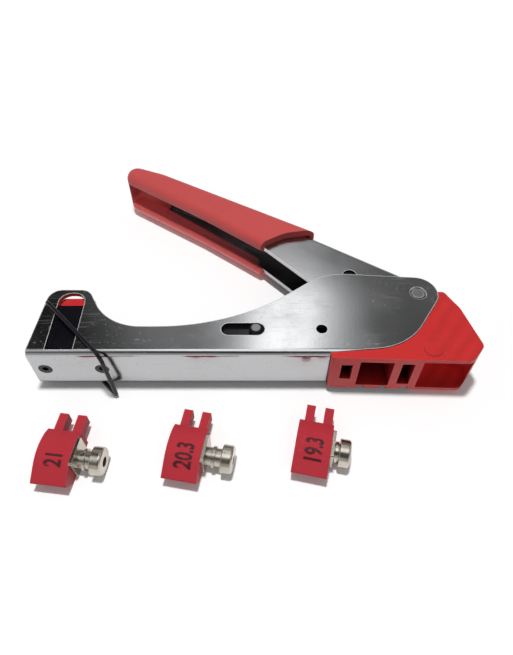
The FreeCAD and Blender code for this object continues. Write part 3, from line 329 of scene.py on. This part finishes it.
def ring_group(name):
    """Dark ring round a pin's head, seen from above."""
    tree, _, end = new_group(name, [], [("Ring", "NodeSocketFloat")])
    place = tree.nodes.new("ShaderNodeTexCoord")
    parts = tree.nodes.new("ShaderNodeSeparateXYZ")
    link(tree, place.outputs["Generated"], parts.inputs[0])
    flat = tree.nodes.new("ShaderNodeCombineXYZ")
    link(tree, parts.outputs["X"], flat.inputs["X"])
    link(tree, parts.outputs["Y"], flat.inputs["Y"])
    out = add_node(tree, "ShaderNodeVectorMath", operation="DISTANCE")
    link(tree, flat.outputs["Vector"], out.inputs[0])
    out.inputs[1].default_value = (0.46, 0.54, 0.0)
    link(tree, ramp(tree, out.outputs["Value"], 0.26, 0.36), end.inputs["Ring"])
    return tree


def rounded_group(name):
    """Normal with the sharp edges rounded off, so that they catch the light."""
    tree, start, end = new_group(name, [("Radius", "NodeSocketFloat", 0.00025)],
                                 [("Normal", "NodeSocketVector")])
    bevel = add_node(tree, "ShaderNodeBevel", samples=6)
    link(tree, start.outputs["Radius"], bevel.inputs["Radius"])
    link(tree, bevel.outputs["Normal"], end.inputs["Normal"])
    return tree


def place_group(tree, name, maker, **values):
    """A group node. Its group is made once and shared by every material that asks for it."""
    made = tree.nodes.new("ShaderNodeGroup")
    made.node_tree = bpy.data.node_groups.get(name) or maker(name)
    for label, value in values.items():
        made.inputs[label.replace("_", " ")].default_value = value
    return made


def mix_colour(tree, mask, first, second):
    """The first colour where the mask is 0 and the second where it is 1."""
    made = add_node(tree, "ShaderNodeMix", data_type="RGBA")
    link(tree, mask, made.inputs["Factor"])
    for socket, value in ((made.inputs[6], first), (made.inputs[7], second)):
        if isinstance(value, bpy.types.NodeSocket):
            link(tree, value, socket)
        else:
            socket.default_value = (*value, 1.0)
    return made.outputs[2]


def new_material(name):
    """A new material, its tree and its Principled BSDF, or one made before and nothing else."""
    material = bpy.data.materials.get(name)
    if material:
        return material, None, None
    material = bpy.data.materials.new(name)
    material.use_nodes = True
    return material, material.node_tree, material.node_tree.nodes["Principled BSDF"]


def reopen(material):
    """A made material's tree, its Principled BSDF and the socket that its colour comes from."""
    tree = material.node_tree
    shader = next(node for node in tree.nodes if node.type == "BSDF_PRINCIPLED")
    return tree, shader, shader.inputs["Base Color"].links[0].from_socket


def object_place(tree):
    """The place on the object in its own axes, as a vector and as its X, Y and Z."""
    place = tree.nodes.new("ShaderNodeTexCoord").outputs["Object"]
    parts = tree.nodes.new("ShaderNodeSeparateXYZ")
    link(tree, place, parts.inputs[0])
    return place, parts.outputs


def across_arm(tree, place):
    """How far across the handle's arm a place is."""
    across = add_node(tree, "ShaderNodeVectorMath", operation="DOT_PRODUCT")
    link(tree, place, across.inputs[0])
    across.inputs[1].default_value = ACROSS_ARM
    return across.outputs["Value"]


def add_bump(tree, shader, height, strength, distance, edge=0.0002):
    """Bump over edges that are rounded off by a radius."""
    bump = add_node(tree, "ShaderNodeBump", Strength=strength, Distance=distance)
    soft = place_group(tree, "Rounded Edges", rounded_group, Radius=edge)
    link(tree, soft.outputs["Normal"], bump.inputs["Normal"])
    link(tree, height, bump.inputs["Height"])
    link(tree, bump.outputs["Normal"], shader.inputs["Normal"])


def shade(colour, factor):
    """A colour made lighter or darker by a factor."""
    return tuple(min(1.0, part * factor) for part in colour)


def colours():
    return bpy.context.scene.tool_colours


def wear():
    return bpy.context.scene.tool_wear


# Materials

def metal(name, colour, roughness, scratches, haze, scratch_scale=60.0, head=0.0, hollow=None):
    """Polished or plain metal with scratches, dull patches and specks, with a painted white highlight
    on its rims and painted shade in its hollows.
    """
    material, tree, shader = new_material(name)
    if tree is None:
        return material
    lines = place_group(tree, "Fine Scratches", scratch_group, Scale=scratch_scale, Amount=scratches)
    cloud = place_group(tree, "Haze", haze_group, Scale=34.0)
    edge = place_group(tree, "Edge Wear And Highlight", edge_group, Radius=0.0006)
    deep = place_group(tree, "Hollow", hollow_group, Reach=0.012)
    fine = place_group(tree, "Grain", grain_group, Grain_Scale=2600.0, Tone_Scale=70.0)
    dulled = product(tree, cloud.outputs["Cloud"], haze)
    specks = product(tree, cloud.outputs["Specks"], haze)
    rough = total(tree, product(tree, dulled, 0.35), roughness,
                  product(tree, lines.outputs["Mask"], 0.08))
    link(tree, rough, shader.inputs["Roughness"])
    tone = mix_colour(tree, specks, colour, shade(colour, 1.25))
    tone = mix_colour(tree, dulled, tone, shade(colour, 0.86))
    # Painted highlight: the sharp rims are turned white.
    tone = mix_colour(tree, edge.outputs["Edge"], tone, PAINTED_RIM_HIGHLIGHT)
    # Painted shade: darker in the channels and hollows, where little light comes in.
    tone = mix_colour(tree, deep.outputs["Hollow"], tone, hollow or shade(colour, 0.12))
    if head > 0:
        dark_ring = place_group(tree, "Head Ring", ring_group)
        tone = mix_colour(tree, dark_ring.outputs["Ring"], tone, shade(colour, 1.0 - head))
    link(tree, tone, shader.inputs["Base Color"])
    # Less metal where the rims' painted highlight, the specks and the scratches are, so that they show
    # pale.
    pale = math_node(tree, "MAXIMUM", product(tree, edge.outputs["Edge"], 0.85),
                     product(tree, cloud.outputs["Specks"], 0.30))
    pale = math_node(tree, "MAXIMUM", pale, product(tree, lines.outputs["Mask"], 0.25))
    link(tree, math_node(tree, "SUBTRACT", 1.0, pale), shader.inputs["Metallic"])
    height = total(tree, product(tree, lines.outputs["Mask"], -0.10),
                   product(tree, cloud.outputs["Specks"], -0.7), fine.outputs["Height"])
    add_bump(tree, shader, height, 0.3, 0.00003, 0.0003)
    return material


def plastic(name, colour, roughness, grain, specular=0.38, sheen=0.0):
    """Moulded plastic: fine grain, slow change of tone, paler edges that are partly wear and partly a
    painted highlight, and a little dust.
    """
    material, tree, shader = new_material(name)
    if tree is None:
        return material
    tone = 0.18
    fine = place_group(tree, "Grain", grain_group, Grain_Scale=1800.0, Tone_Scale=70.0)
    edge = place_group(tree, "Edge Wear And Highlight", edge_group, Radius=0.0003)
    cloud = place_group(tree, "Haze", haze_group, Scale=55.0, Speck_Scale=1400.0)
    slow = product(tree, ramp(tree, fine.outputs["Tone"], 0.35, 0.65), tone)
    base = mix_colour(tree, slow, colour, shade(colour, 1.0 - tone * 1.6))
    # Paler edges: partly wear, partly a painted highlight.
    worn_and_highlit = product(tree, edge.outputs["Edge"], 0.30)
    base = mix_colour(tree, worn_and_highlit, base, tuple(part * 0.6 + 0.3 for part in colour))
    specks = product(tree, cloud.outputs["Specks"], wear().dust)
    link(tree, mix_colour(tree, specks, base, DUST_WHITE), shader.inputs["Base Color"])
    rough = total(tree, product(tree, cloud.outputs["Cloud"], 0.12), roughness)
    link(tree, rough, shader.inputs["Roughness"])
    shader.inputs["Specular IOR Level"].default_value = specular
    shader.inputs["Sheen Weight"].default_value = sheen
    add_bump(tree, shader, fine.outputs["Height"], grain, 0.00006)
    return material


def nose_material():
    """Nose plastic with painted shade in its windows, painted light in its well, and darker bands of
    painted shade that stand for shallow creases over its end.
    """
    made_before = bpy.data.materials.get("Nose Plastic")
    if made_before:
        return made_before
    colour = tuple(colours().nose)
    material = plastic("Nose Plastic", colour, 0.34, 0.10)
    tree, shader, base = reopen(material)
    place, parts = object_place(tree)
    deep = place_group(tree, "Hollow", hollow_group, Reach=0.020)
    # Painted shade and painted light where little light comes in: near black in the windows, light red
    # in the well.
    inside = ramp(tree, deep.outputs["Open"], 0.36, 0.20)
    well = ramp(tree, parts["X"], *WELL_X)
    base = mix_colour(tree, inside, base, mix_colour(tree, well, shade(colour, 0.06), WELL_PAINTED_LIGHT))
    # Painted shade: darker diagonal bands that stand for shallow creases over the nose's end.
    turned = tree.nodes.new("ShaderNodeMapping")
    turned.inputs["Rotation"].default_value = (0.0, 0.0, math.radians(38))
    link(tree, place, turned.inputs["Vector"])
    fold_shade_bands = add_node(tree, "ShaderNodeTexWave", wave_type="BANDS", bands_direction="X", Scale=62.0,
                     Distortion=1.5, Detail=0.0)
    link(tree, turned.outputs["Vector"], fold_shade_bands.inputs["Vector"])
    painted_fold_shade = product(tree, fold_shade_bands.outputs["Fac"], ramp(tree, parts["X"], *FOLD_SHADE_X), 0.22)
    link(tree, mix_colour(tree, painted_fold_shade, base, shade(colour, 0.5)), shader.inputs["Base Color"])
    return material


def grip_material():
    """Soft grip plastic with painted light inside its lower wall, standing for light that falls in
    from its open side.
    """
    made_before = bpy.data.materials.get("Grip Plastic")
    if made_before:
        return made_before
    material = plastic("Grip Plastic", tuple(colours().grip), 0.46, 0.22, sheen=0.06)
    tree, shader, base = reopen(material)
    place, parts = object_place(tree)
    deep = place_group(tree, "Hollow", hollow_group, Reach=0.012)
    # Painted light: the inside of the lower wall is made lighter red.
    inside = product(tree, ramp(tree, deep.outputs["Open"], 0.85, 0.60),
                     ramp(tree, parts["Z"], *GRIP_WALL_Z),
                     ramp(tree, across_arm(tree, place), *GRIP_WALL_ACROSS))
    link(tree, mix_colour(tree, inside, base, GRIP_INSIDE_PAINTED_LIGHT), shader.inputs["Base Color"])
    return material


def chrome(name, roughness, **values):
    """The channels' plating."""
    return metal(name, tuple(colours().chrome), roughness, wear().scratches, wear().haze, **values)


def handle_material():
    """The handle's chrome with painted shade inside, and a red layer, lightened as painted light,
    along the open side of the gripped arm.
    """
    made_before = bpy.data.materials.get("Handle Chrome")
    if made_before:
        return made_before
    # Painted shade: the inside of the channel is made near black.
    material = chrome("Handle Chrome", 0.12, hollow=CHANNEL_PAINTED_SHADE)
    tree, shader, base = reopen(material)
    place, parts = object_place(tree)
    deep = place_group(tree, "Hollow", hollow_group, Reach=0.012)
    # The grip's red layer inside the arm, lightened as painted light.
    lining_and_painted_light = product(tree, ramp(tree, across_arm(tree, place), *LINING_ACROSS),
                     ramp(tree, parts["X"], *LINING_X),
                     ramp(tree, deep.outputs["Open"], 0.85, 0.70))
    link(tree, mix_colour(tree, lining_and_painted_light, base, LINING_RED_PAINTED_LIGHT), shader.inputs["Base Color"])
    shine = shader.inputs["Metallic"].links[0].from_socket
    link(tree, math_node(tree, "SUBTRACT", shine, lining_and_painted_light), shader.inputs["Metallic"])
    return material


def steel(name, scratches, head=0.0):
    """Plain steel, with a dark ring round the pins' heads where head is above 0."""
    return metal(name, tuple(colours().steel), 0.28, scratches, 0.8, scratch_scale=120.0, head=head)


def nickel_material():
    """Turned nickel: rings from the tool about the mandrel's axis."""
    material, tree, shader = new_material("Turned Nickel")
    if tree is None:
        return material
    place = tree.nodes.new("ShaderNodeTexCoord")
    waves = add_node(tree, "ShaderNodeTexWave", wave_type="BANDS", bands_direction="X", Scale=1400.0,
                     Distortion=1.2, Detail=1.0)
    link(tree, place.outputs["Object"], waves.inputs["Vector"])
    cloud = place_group(tree, "Haze", haze_group, Scale=120.0)
    colour = tuple(colours().nickel)
    tone = mix_colour(tree, cloud.outputs["Cloud"], colour, shade(colour, 0.75))
    link(tree, tone, shader.inputs["Base Color"])
    shader.inputs["Metallic"].default_value = 1.0
    rough = total(tree, product(tree, cloud.outputs["Cloud"], 0.12), 0.16)
    link(tree, rough, shader.inputs["Roughness"])
    add_bump(tree, shader, waves.outputs["Fac"], 0.10, 0.00005)
    return material


def black_material(name, roughness):
    """Blackened or painted metal with pale rubbed spots."""
    material, tree, shader = new_material(name)
    if tree is None:
        return material
    edge = place_group(tree, "Edge Wear And Highlight", edge_group, Radius=0.0002)
    cloud = place_group(tree, "Haze", haze_group, Scale=90.0)
    fine = place_group(tree, "Grain", grain_group, Grain_Scale=2400.0)
    rub = product(tree, edge.outputs["Edge"], cloud.outputs["Cloud"], 0.25)
    base = mix_colour(tree, rub, tuple(colours().black), RUBBED_GREY)
    link(tree, base, shader.inputs["Base Color"])
    rough = total(tree, product(tree, cloud.outputs["Cloud"], 0.15), roughness)
    link(tree, rough, shader.inputs["Roughness"])
    shader.inputs["Specular IOR Level"].default_value = 0.35
    add_bump(tree, shader, fine.outputs["Height"], 0.12, 0.00005)
    return material


def ink_material():
    """Printed figures, thin in places so that the red shows through."""
    material, tree, shader = new_material("Numeral Ink")
    if tree is None:
        return material
    fine = place_group(tree, "Grain", grain_group, Grain_Scale=2500.0, Tone_Scale=300.0)
    thin = ramp(tree, fine.outputs["Tone"], 0.55, 0.75)
    base = mix_colour(tree, thin, tuple(colours().numeral), shade(colours().adapter, 0.6))
    link(tree, base, shader.inputs["Base Color"])
    shader.inputs["Roughness"].default_value = 0.45
    return material


# Pieces

def finish_node(name, material):
    """Give a piece of the frame its material."""
    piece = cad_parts[name]
    piece.data.materials.clear()
    piece.data.materials.append(material)
    return piece


def dress(names, material):
    """Give several pieces of the frame one material."""
    for name in names:
        finish_node(name, material)


def new_piece(name, mesh, material, body):
    """Add a mesh piece that rides on a body."""
    piece = bpy.data.objects.new(name, mesh)
    bpy.context.scene.collection.objects.link(piece)
    mesh.materials.append(material)
    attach(piece, body)


class TOOL_OT_channel(bpy.types.Operator):
    """Chrome the stamped body channel and the handle's channel"""
    bl_idname = "tool.chrome_channels"
    bl_label = "Chromed Channels"

    def execute(self, context):
        dress(("body_channel",), chrome("Chrome Plate", 0.10))
        dress(("handle_channel",), handle_material())
        return {"FINISHED"}


class TOOL_OT_nose(bpy.types.Operator):
    """Finish the moulded nose and the cable cradle"""
    bl_idname = "tool.nose_and_cradle"
    bl_label = "Nose and Cradle"

    def execute(self, context):
        dress(("nose_housing",), nose_material())
        dress(("cable_cradle",), plastic("Cradle Plastic", tuple(colours().nose), 0.34, 0.10))
        return {"FINISHED"}


class TOOL_OT_grip(bpy.types.Operator):
    """Finish the soft grip"""
    bl_idname = "tool.grip"
    bl_label = "Grip"

    def execute(self, context):
        dress(("handle_grip",), grip_material())
        return {"FINISHED"}


class TOOL_OT_black_parts(bpy.types.Operator):
    """Blacken the saddle, slider, bushes, screws, spring and wire bail"""
    bl_idname = "tool.black_parts"
    bl_label = "Black Parts"

    def execute(self, context):
        dress(("clamp_saddle", "slider_block", "slider_bush_lower", "slider_bush_upper",
               "cradle_screws"), black_material("Blackened Steel", 0.14))
        dress(("wire_bail", "return_spring"), black_material("Black Wire", 0.16))
        return {"FINISHED"}


class TOOL_OT_steel_parts(bpy.types.Operator):
    """Finish the pivot, pins, washers and links, with a dark link pin"""
    bl_idname = "tool.steel_parts"
    bl_label = "Steel Parts"

    def execute(self, context):
        dress(("pivot_washer_lower", "pivot_washer_upper", "pivot_sleeve", "toggle_link_lower",
               "toggle_link_upper", "link_washer_lower", "link_washer_upper"),
              steel("Plain Steel", 0.6))
        dress(("main_pivot", "slider_pin"), steel("Pin Heads", 0.5, head=0.97))
        dress(("link_pin",), black_material("Dark Pin", 0.30))
        return {"FINISHED"}


def numeral_mesh(text):
    """Flat figures, centred on the origin, cut into narrow strips so that they can follow a curve."""
    curve = bpy.data.curves.new("figures_" + text, "FONT")
    curve.body = text
    curve.align_x = "CENTER"
    curve.align_y = "CENTER"
    curve.size = FIGURE_HEIGHT / FIGURE_SHARE
    curve.resolution_u = 6
    curve.offset = FIGURE_BOLDER * curve.size
    holder = bpy.data.objects.new("figures_" + text, curve)
    bpy.context.scene.collection.objects.link(holder)
    depsgraph = bpy.context.evaluated_depsgraph_get()
    mesh = bpy.data.meshes.new_from_object(holder.evaluated_get(depsgraph))
    bpy.data.objects.remove(holder)
    bpy.data.curves.remove(curve)
    mesh.transform(Matrix.Diagonal((FIGURE_WIDTH, 1.0, 1.0, 1.0)))
    mesh.transform(Matrix.Rotation(math.radians(90), 4, "Z"))
    shape = bmesh.new()
    shape.from_mesh(mesh)
    ys = [vertex.co.y for vertex in shape.verts]
    low, high = min(ys), max(ys)
    for i in range(1, FIGURE_STRIPS):
        cut = low + (high - low) * i / FIGURE_STRIPS
        geometry = shape.verts[:] + shape.edges[:] + shape.faces[:]
        bmesh.ops.bisect_plane(shape, geom=geometry, plane_co=(0, cut, 0), plane_no=(0, 1, 0))
    shape.to_mesh(mesh)
    shape.free()
    return mesh


class TOOL_OT_adapters(bpy.types.Operator):
    """Finish the loose adapters and print their numbers"""
    bl_idname = "tool.adapters"
    bl_label = "Adapters"

    def execute(self, context):
        ink = ink_material()
        red = plastic("Adapter Plastic", tuple(colours().adapter), 0.46, 0.12, specular=0.22)
        for key, (text, corner, turn) in ADAPTERS.items():
            block = finish_node(f"adapter_{key}_block", red)
            dress((f"adapter_{key}_plate", f"adapter_{key}_mandrel"), nickel_material())
            mesh = numeral_mesh(text)
            here = (Matrix.Translation(Vector((*corner, 0.0)) * MM) @
                    Matrix.Rotation(math.radians(turn), 4, "Z") @
                    Matrix.Translation(Vector((*NUMBER_CENTRE, 0.0)) * MM))
            faces = BVHTree.FromObject(block, bpy.context.evaluated_depsgraph_get())
            for vertex in mesh.vertices:
                spot = here @ vertex.co
                hit = faces.ray_cast(Vector((spot.x, spot.y, ABOVE_ADAPTERS)), Vector((0, 0, -1)))[0]
                if hit is None:
                    raise RuntimeError(f"the number {text} runs off its adapter")
                vertex.co = Vector((spot.x, spot.y, hit.z + INK_LIFT))
            new_piece(f"adapter_{key}_number", mesh, ink, f"adapter_{key}")
        return {"FINISHED"}


# Stage

def floor_material():
    """Pale floor that keeps the shadow and turns white away from the tool, as the camera sees it."""
    material, tree, shader = new_material("Pale Floor")
    if tree is None:
        return material
    shader.inputs["Base Color"].default_value = (0.88, 0.88, 0.88, 1.0)
    shader.inputs["Roughness"].default_value = 0.8
    path = tree.nodes.new("ShaderNodeLightPath")
    place = tree.nodes.new("ShaderNodeTexCoord")
    away = add_node(tree, "ShaderNodeVectorMath", operation="DISTANCE")
    link(tree, place.outputs["Object"], away.inputs[0])
    away.inputs[1].default_value = FLOOR_MIDDLE
    far = product(tree, ramp(tree, away.outputs["Value"], 0.10, 0.50), 0.95)
    shader.inputs["Emission Color"].default_value = (*WHITE, 1.0)
    lift = product(tree, path.outputs["Is Camera Ray"], total(tree, far, 0.05))
    link(tree, lift, shader.inputs["Emission Strength"])
    return material


def grey_bands(tree, source, stops):
    """Grey levels at positions from 0 to 1, with straight runs between them."""
    bands = tree.nodes.new("ShaderNodeValToRGB")
    while len(bands.color_ramp.elements) < len(stops):
        bands.color_ramp.elements.new(0.5)
    for element, (position, level) in zip(bands.color_ramp.elements, stops):
        element.position = position
        element.color = (level, level, level, 1.0)
    link(tree, source, bands.inputs["Fac"])
    return bands.outputs["Color"]


def studio_world():
    """White to the camera, plain grey light, and a softbox ring for what metal reflects."""
    world = bpy.data.worlds.new("Studio")
    bpy.context.scene.world = world
    world.use_nodes = True
    tree = world.node_tree
    tree.nodes.clear()
    output = tree.nodes.new("ShaderNodeOutputWorld")
    light = add_node(tree, "ShaderNodeBackground", Strength=0.25, Color=(*WHITE, 1.0))
    seen = add_node(tree, "ShaderNodeBackground", Strength=1.0, Color=(*WHITE, 1.0))
    shine = add_node(tree, "ShaderNodeBackground", Strength=RING_STRENGTH)
    place = tree.nodes.new("ShaderNodeTexCoord")
    parts = tree.nodes.new("ShaderNodeSeparateXYZ")
    link(tree, place.outputs["Generated"], parts.inputs[0])
    angle = math_node(tree, "ARCTAN2", parts.outputs["X"], parts.outputs["Y"])
    turn = ramp(tree, angle, -math.pi, math.pi)
    high, low, skirt = (grey_bands(tree, turn, ring) for ring in (HIGH_RING, LOW_RING, SKIRT_RING))
    lift = ramp(tree, parts.outputs["Z"], *LOW_FROM)
    rise = ramp(tree, parts.outputs["Z"], *HIGH_FROM)
    top = ramp(tree, parts.outputs["Z"], *TOP_FROM)
    sides = mix_colour(tree, rise, mix_colour(tree, lift, skirt, low), high)
    link(tree, mix_colour(tree, top, sides, (RING_TOP,) * 3), shine.inputs["Color"])
    path = tree.nodes.new("ShaderNodeLightPath")
    glossy = tree.nodes.new("ShaderNodeMixShader")
    camera = tree.nodes.new("ShaderNodeMixShader")
    link(tree, path.outputs["Is Glossy Ray"], glossy.inputs[0])
    link(tree, light.outputs[0], glossy.inputs[1])
    link(tree, shine.outputs[0], glossy.inputs[2])
    link(tree, path.outputs["Is Camera Ray"], camera.inputs[0])
    link(tree, glossy.outputs[0], camera.inputs[1])
    link(tree, seen.outputs[0], camera.inputs[2])
    link(tree, camera.outputs[0], output.inputs["Surface"])


def area_lamp(name, place, size, power):
    """A round lamp that points at the tool and isn't seen in its metal."""
    lamp = bpy.data.lights.new(name, "AREA")
    lamp.shape = "DISK"
    lamp.size = size
    lamp.energy = power
    holder = bpy.data.objects.new(name, lamp)
    holder.location = place
    holder.rotation_euler = (Vector(AIM) - Vector(place)).to_track_quat("-Z", "Y").to_euler()
    bpy.context.scene.collection.objects.link(holder)
    holder.visible_glossy = False


class TOOL_OT_studio(bpy.types.Operator):
    """Set up the pale floor, the soft lamps, the world and the camera"""
    bl_idname = "tool.studio"
    bl_label = "Studio"

    def execute(self, context):
        settings = context.scene.tool_stage
        mesh = bpy.data.meshes.new("floor")
        corners = [(x * FLOOR_REACH, y * FLOOR_REACH, 0)
                   for x, y in ((-1, -1), (1, -1), (1, 1), (-1, 1))]
        mesh.from_pydata(corners, [], [(0, 1, 2, 3)])
        mesh.materials.append(floor_material())
        floor = bpy.data.objects.new("floor", mesh)
        context.scene.collection.objects.link(floor)
        studio_world()
        area_lamp("main_lamp", MAIN_LAMP_PLACE, MAIN_LAMP_SIZE, settings.lamp)
        area_lamp("fill_lamp", FILL_LAMP_PLACE, FILL_LAMP_SIZE, settings.fill)
        camera = bpy.data.cameras.new("camera")
        camera.lens = settings.lens
        camera.sensor_width = SENSOR_WIDTH
        camera.clip_start = NEAR_CLIP
        holder = bpy.data.objects.new("camera", camera)
        holder.location = settings.camera_place
        holder.rotation_euler = (settings.camera_tilt, 0.0, 0.0)
        context.scene.collection.objects.link(holder)
        context.scene.camera = holder
        context.scene.view_settings.view_transform = "Standard"
        return {"FINISHED"}


OPERATORS = (TOOL_OT_channel, TOOL_OT_nose, TOOL_OT_grip, TOOL_OT_black_parts, TOOL_OT_steel_parts,
             TOOL_OT_adapters, TOOL_OT_studio)


class TOOL_PT_panel(bpy.types.Panel):
    """Sidebar panel with the tool's settings and a button for each finishing step."""
    bl_label = "Compression Tool"
    bl_idname = "TOOL_PT_panel"
    bl_space_type = "VIEW_3D"
    bl_region_type = "UI"
    bl_category = "Compression Tool"

    def draw(self, context):
        scene = context.scene
        for settings in (scene.tool_colours, scene.tool_wear, scene.tool_stage):
            box = self.layout.box()
            for name in settings.bl_rna.properties.keys():
                if name not in ("rna_type", "name"):
                    box.prop(settings, name)
        for operator in OPERATORS:
            self.layout.operator(operator.bl_idname)


CLASSES = (FinishColours, WearSettings, StageSettings, *OPERATORS, TOOL_PT_panel)


def register():
    for cls in CLASSES:
        bpy.utils.register_class(cls)
    bpy.types.Scene.tool_colours = bpy.props.PointerProperty(type=FinishColours)
    bpy.types.Scene.tool_wear = bpy.props.PointerProperty(type=WearSettings)
    bpy.types.Scene.tool_stage = bpy.props.PointerProperty(type=StageSettings)


def unregister():
    del bpy.types.Scene.tool_stage
    del bpy.types.Scene.tool_wear
    del bpy.types.Scene.tool_colours
    for cls in reversed(CLASSES):
        bpy.utils.unregister_class(cls)


def main():
    register()
    bpy.ops.tool.chrome_channels()
    bpy.ops.tool.nose_and_cradle()
    bpy.ops.tool.grip()
    bpy.ops.tool.black_parts()
    bpy.ops.tool.steel_parts()
    bpy.ops.tool.adapters()
    bpy.ops.tool.studio()


if __name__ == "__main__":
    main()
